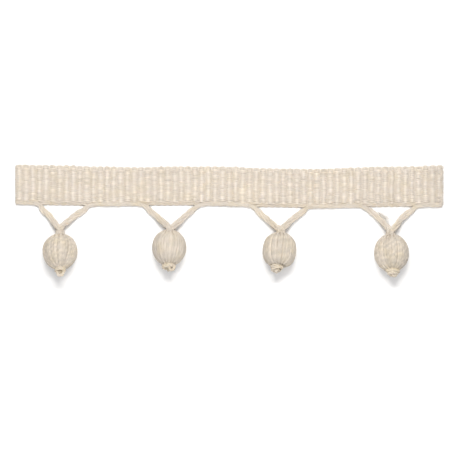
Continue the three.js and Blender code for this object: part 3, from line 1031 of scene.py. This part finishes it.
class TRIM_OT_raise_fibres(bpy.types.Operator):
    """Raise the loose fibres: along edges and arms, on the bobbles and at the cut ends"""

    bl_idname = "trim.raise_fibres"
    bl_label = "Raise Fibres"

    def execute(self, context):
        cotton = materials_of(context.scene.fringe_trim)
        rng = np.random.default_rng(5)
        skein = Skein()
        fibres = []
        for kind in (edge_fibres, end_fibres, arm_fibres, bobble_fibres):
            fibres.extend(kind(rng))
        for start, away, length in fibres:
            lay_fibre(skein, rng, start, away, length)
        skein.finish("stray_fibres", cotton["cord cotton"], "cord_cotton", lowest=0.05 * MM)
        return {"FINISHED"}


def lay_fibre(skein, rng, start, away, length):
    """One curled loose fibre."""
    s = np.linspace(0, 1, 6)[:, None] * length
    bend = unit(rng.normal(0, 1, 3))
    curl = unit(np.cross(bend, away))
    path = start + s * unit(away) + curl * (s / length) ** 2 * length * rng.uniform(0.1, 0.6)
    path = path + bend * np.sin(3.5 * s / length) * 0.12 * length
    side, rise = carried_sides(path, bend)
    width = rng.uniform(0.035, 0.065) * MM
    skein.add(path, side, rise, width, width, 3, rng.uniform(0.5, 1))


def edge_fibres(rng):
    """Fibres along the heading's two long edges."""
    for k in range(FIBRES["edges"]):
        x = rng.uniform(LEFT_CUT, RIGHT_CUT)
        outwards = 1 if k % 3 else -1
        y = top_at(x) if outwards == 1 else foot_at(x) + 0.2 * MM
        away = np.array([rng.normal(0, 0.9), outwards, rng.normal(0, 0.4)])
        yield np.array([x, y, rng.uniform(0.4, 1.3) * MM]), away, rng.uniform(0.5, 1.3) * MM


def end_fibres(rng):
    """The frayed warp at the cut ends. The right end frays more."""
    for x, end, count, reach in ((LEFT_CUT, -1, 90, 0.6), (RIGHT_CUT, 1, 190, 0.9)):
        for _ in range(count):
            y = rng.uniform(foot_at(x) + 0.5 * MM, top_at(x) - 0.4 * MM)
            away = np.array([end, rng.normal(0, 0.5), rng.normal(0, 0.3)])
            yield np.array([x, y, rng.uniform(0.4, 1.3) * MM]), away, reach * rng.uniform(0.4, 1.1) * MM


def arm_fibres(rng):
    """Fibres on the arms, and the long wisps beside the last bobble's left arm."""
    low = 1.4 * MM
    for row, left, right in zip(BOBBLES, LEFT_ARMS, RIGHT_ARMS):
        neck = neck_of(row)
        for arm in (left, right):
            flat = even_steps(np.array(arm) * MM, 0.5 * MM)
            for _ in range(FIBRES["arm"]):
                share = rng.uniform(0, 1)
                x, y = flat[int(share * (len(flat) - 1))]
                height = low + (neck[2] - low) * share
                away = np.array([rng.normal(0, 1), rng.normal(0, 1), rng.normal(0, 0.5)])
                yield np.array([x, y, height]), away, rng.uniform(1.4, 2.4) * MM
    for _ in range(FIBRES["wisps"]):
        place = np.array([at + rng.normal(0, scatter) for at, scatter in zip(WISPS, WISP_SCATTER)])
        away = np.array([1.0, -1.0 + rng.normal(0, 0.1), 0.1])
        yield place * MM, away, rng.uniform(4.5, 7.0) * MM


def bobble_fibres(rng):
    """Short fibres that stand off the bobbles."""
    for row in BOBBLES:
        middle, axis, right, top = bobble_frame(row)
        line = meridian(row, 0.1 * MM, 0.5 * MM)
        for _ in range(FIBRES["bobble"]):
            reach, radius = line[rng.integers(4, len(line) - 4)]
            azimuth = rng.uniform(0, TURN)
            outward = math.cos(azimuth) * right + math.sin(azimuth) * top
            away = 0.45 * outward + rng.normal(0, 0.6, 3)
            yield middle + reach * axis + radius * outward, away, rng.uniform(0.5, 1.2) * MM


class TRIM_OT_set_stage(bpy.types.Operator):
    """Set the pale surface, the soft light and the camera above the trim"""

    bl_idname = "trim.set_stage"
    bl_label = "Set Stage"

    def execute(self, context):
        settings = context.scene.fringe_trim
        stage = settings.stage
        lay_surface(stage, settings.colours.surface)
        light_stage(context.scene)
        place_camera(context.scene, stage)
        return {"FINISHED"}


def lay_surface(stage, colour):
    half = stage.floor / 2
    corners = [(-half, -half, 0), (half, -half, 0), (half, half, 0), (-half, half, 0)]
    mesh = bpy.data.meshes.new("surface")
    mesh.from_pydata(corners, [], [(0, 1, 2, 3)])
    material = bpy.data.materials.new("surface paper")
    material.use_nodes = True
    shader = material.node_tree.nodes["Principled BSDF"]
    shader.inputs["Base Color"].default_value = (*colour, 1)
    shader.inputs["Roughness"].default_value = 1.0
    shader.inputs["Specular IOR Level"].default_value = 0.0
    mesh.materials.append(material)
    surface = bpy.data.objects.new("surface", mesh)
    bpy.context.scene.collection.objects.link(surface)


def light_stage(scene):
    """A large lamp overhead, a low one beyond the bobbles, a pair of small ones beyond the heading and
    a sky that is palest overhead and darkest past the two ends."""
    for row in LAMPS:
        add_lamp(scene, row)
    world = bpy.data.worlds.new("pale sky")
    world.use_nodes = True
    tree = world.node_tree
    sky = tree.nodes["Background"]
    sky.inputs["Color"].default_value = SKY_COLOUR
    parts = tree.nodes.new("ShaderNodeSeparateXYZ")
    tree.links.new(tree.nodes.new("ShaderNodeTexCoord").outputs["Generated"], parts.inputs[0])
    sideways = math_node(tree, "ABSOLUTE", parts.outputs["X"])
    band = math_node(tree, "POWER", math_node(tree, "SUBTRACT", 1.0, sideways), 2.0)
    tree.links.new(math_node(tree, "MULTIPLY", band, SKY_STRENGTH), sky.inputs["Strength"])
    scene.world = world
    scene.view_settings.view_transform = "Standard"


def add_lamp(scene, row):
    """A square area light, aimed at the trim."""
    lamp = bpy.data.lights.new(row["name"], "AREA")
    lamp.shape = "SQUARE"
    lamp.size = row["side"]
    lamp.energy = row["power"]
    lamp.color = row["colour"]
    rise, turn = math.radians(row["elevation"]), math.radians(row["turn"])
    away = Vector((math.sin(turn) * math.cos(rise), math.cos(turn) * math.cos(rise), math.sin(rise)))
    light = bpy.data.objects.new(row["name"], lamp)
    light.location = away * row["distance"]
    light.rotation_euler = away.to_track_quat("Z", "Y").to_euler()
    scene.collection.objects.link(light)


def place_camera(scene, stage):
    """The camera looks straight down from far away."""
    lens = bpy.data.cameras.new("camera")
    lens.lens = stage.lens
    lens.sensor_width = 36
    lens.clip_end = 20
    camera = bpy.data.objects.new("camera", lens)
    scene.collection.objects.link(camera)
    height = stage.view_width * stage.lens / lens.sensor_width
    camera.location = (stage.camera_x, stage.camera_y, height)
    scene.camera = camera


OPERATORS = (
    TRIM_OT_set_stage,
    TRIM_OT_weave_heading,
    TRIM_OT_lay_hanger_cord,
    TRIM_OT_wind_bobbles,
    TRIM_OT_tie_knots,
    TRIM_OT_raise_fibres,
)


class TRIM_PT_panel(bpy.types.Panel):
    """The trim's steps in the 3D view's sidebar."""

    bl_label = "Bobble Fringe Trim"
    bl_idname = "TRIM_PT_panel"
    bl_space_type = "VIEW_3D"
    bl_region_type = "UI"
    bl_category = "Trim"

    def draw(self, context):
        settings = context.scene.fringe_trim
        for title in TrimSettings.__annotations__:
            group = getattr(settings, title)
            box = self.layout.box()
            for name in group.__annotations__:
                box.prop(group, name)
        for operator in OPERATORS:
            self.layout.operator(operator.bl_idname)


CLASSES = (
    HeadingSizes,
    CordSizes,
    BobbleSizes,
    TrimColours,
    StageSizes,
    TrimSettings,
    *OPERATORS,
    TRIM_PT_panel,
)


def register():
    for cls in CLASSES:
        bpy.utils.register_class(cls)
    bpy.types.Scene.fringe_trim = PointerProperty(type=TrimSettings)


def unregister():
    del bpy.types.Scene.fringe_trim
    for cls in reversed(CLASSES):
        bpy.utils.unregister_class(cls)


def main():
    register()
    bpy.ops.trim.set_stage()
    bpy.ops.trim.weave_heading()
    bpy.ops.trim.lay_hanger_cord()
    bpy.ops.trim.wind_bobbles()
    bpy.ops.trim.tie_knots()
    bpy.ops.trim.raise_fibres()


if __name__ == "__main__":
    main()
